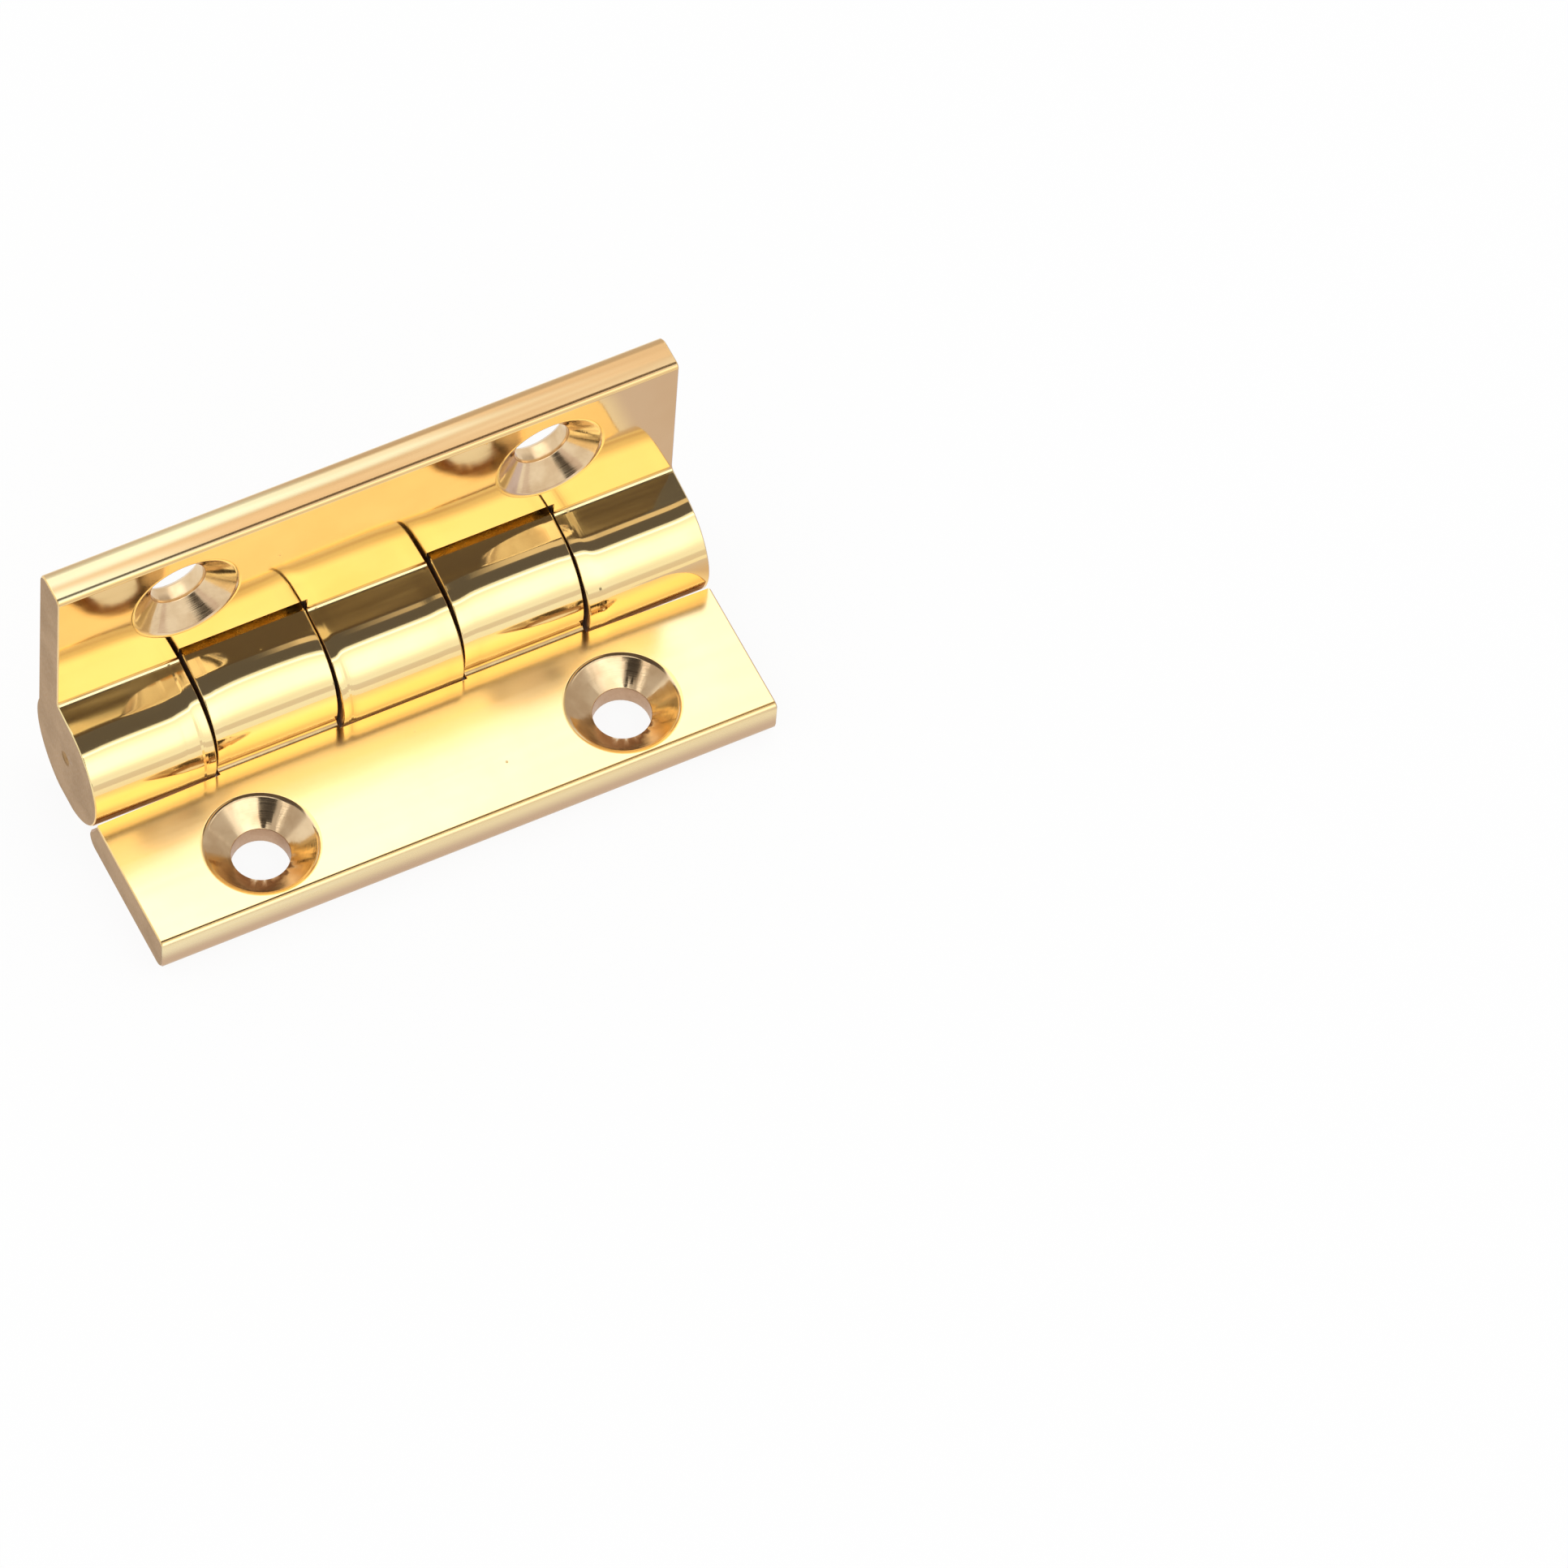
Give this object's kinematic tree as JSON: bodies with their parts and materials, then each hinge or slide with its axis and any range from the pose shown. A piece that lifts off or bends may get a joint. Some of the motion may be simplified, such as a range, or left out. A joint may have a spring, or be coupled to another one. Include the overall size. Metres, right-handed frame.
{
  "type": "lid stop hinge",
  "caption": "Solid brass box hinge with thick countersunk leaves and an interleaved barrel; the lid leaf stops square to the base leaf.",
  "frame": {"origin": "midway between the base leaf's two screw holes, on that leaf's flat back", "axes": "+X along the pin, +Y from the base leaf's free edge towards the pin, +Z out of the base leaf's countersunk face"},
  "size_m": [0.05, 0.0218, 0.0236],
  "materials": {
    "leaf_brass": "mirror polished",
    "pin_brass": "satin turned"
  },
  "bodies": {
    "base": {"base_leaf": "leaf_brass"},
    "lid": {"lid_leaf": "leaf_brass", "hinge_pin": "pin_brass"}
  },
  "joints": [
    {"name": "pin_turn", "type": "hinge", "parent": "base", "child": "lid", "pos_m": [0, 0.0118, 0.005], "axis": [1, 0, 0], "range_deg": [0, 90]}
  ]
}
